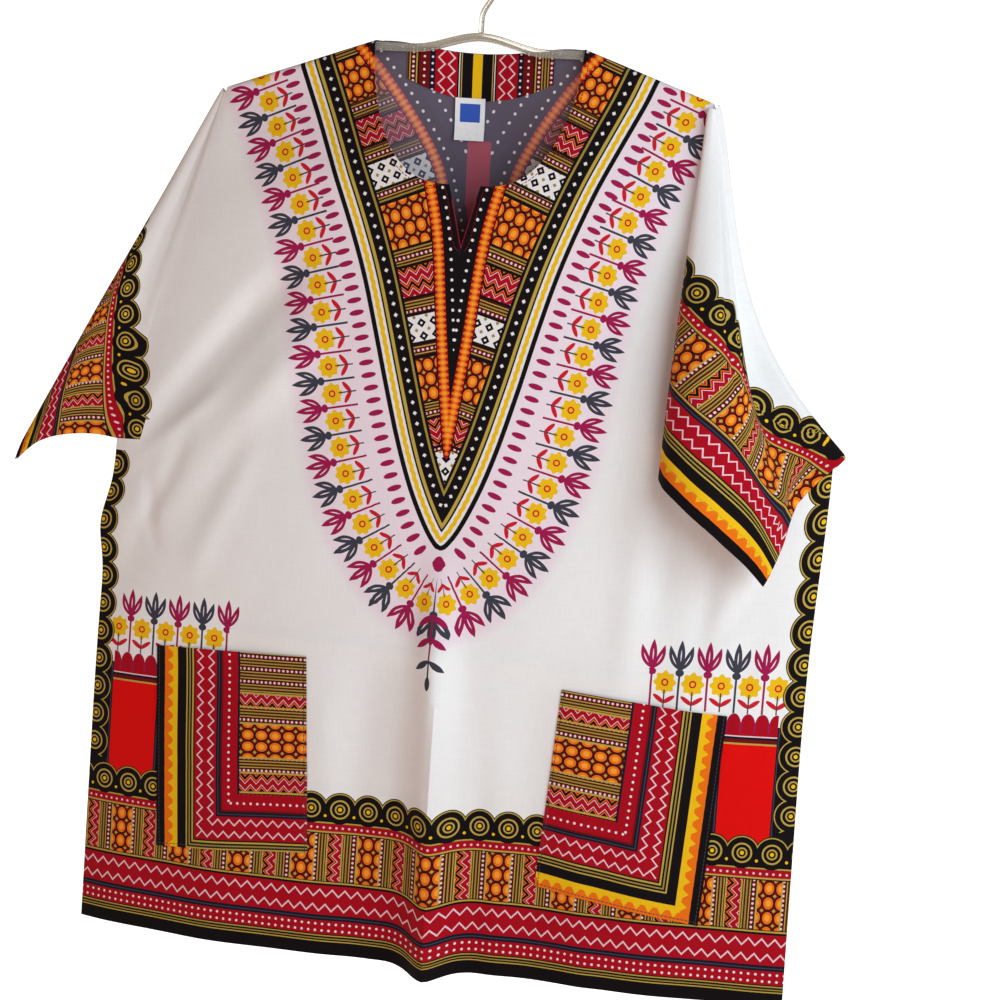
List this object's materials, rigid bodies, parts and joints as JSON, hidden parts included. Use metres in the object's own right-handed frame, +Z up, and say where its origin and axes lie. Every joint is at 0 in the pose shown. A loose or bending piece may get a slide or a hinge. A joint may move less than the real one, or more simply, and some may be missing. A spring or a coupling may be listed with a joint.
{
  "type": "pullover tunic",
  "caption": "Loose cotton pullover tunic with short kimono sleeves, a slit round neck, patch pockets and a border print, hanging on a clear plastic hanger.",
  "frame": {"origin": "the hook's seat: the inner top of the hanger's hook, where it rests on a rod", "axes": "+Z up, +X to the viewer's right as the front is seen, and the front faces -Y"},
  "size_m": [0.7401, 0.1183, 0.8918],
  "materials": {
    "cotton": "matt plain weave, white ground with a printed border",
    "satin_label": "satin, plain",
    "clear_plastic": "clear, smooth"
  },
  "bodies": {
    "root": {"front_panel": "cotton", "back_panel": "cotton", "sleeve_right": "cotton", "sleeve_left": "cotton", "pocket_left": "cotton", "pocket_right": "cotton", "back_neck_facing": "cotton", "label": "satin_label", "hanger_arms": "clear_plastic", "hanger_hook": "clear_plastic"}
  },
  "joints": []
}
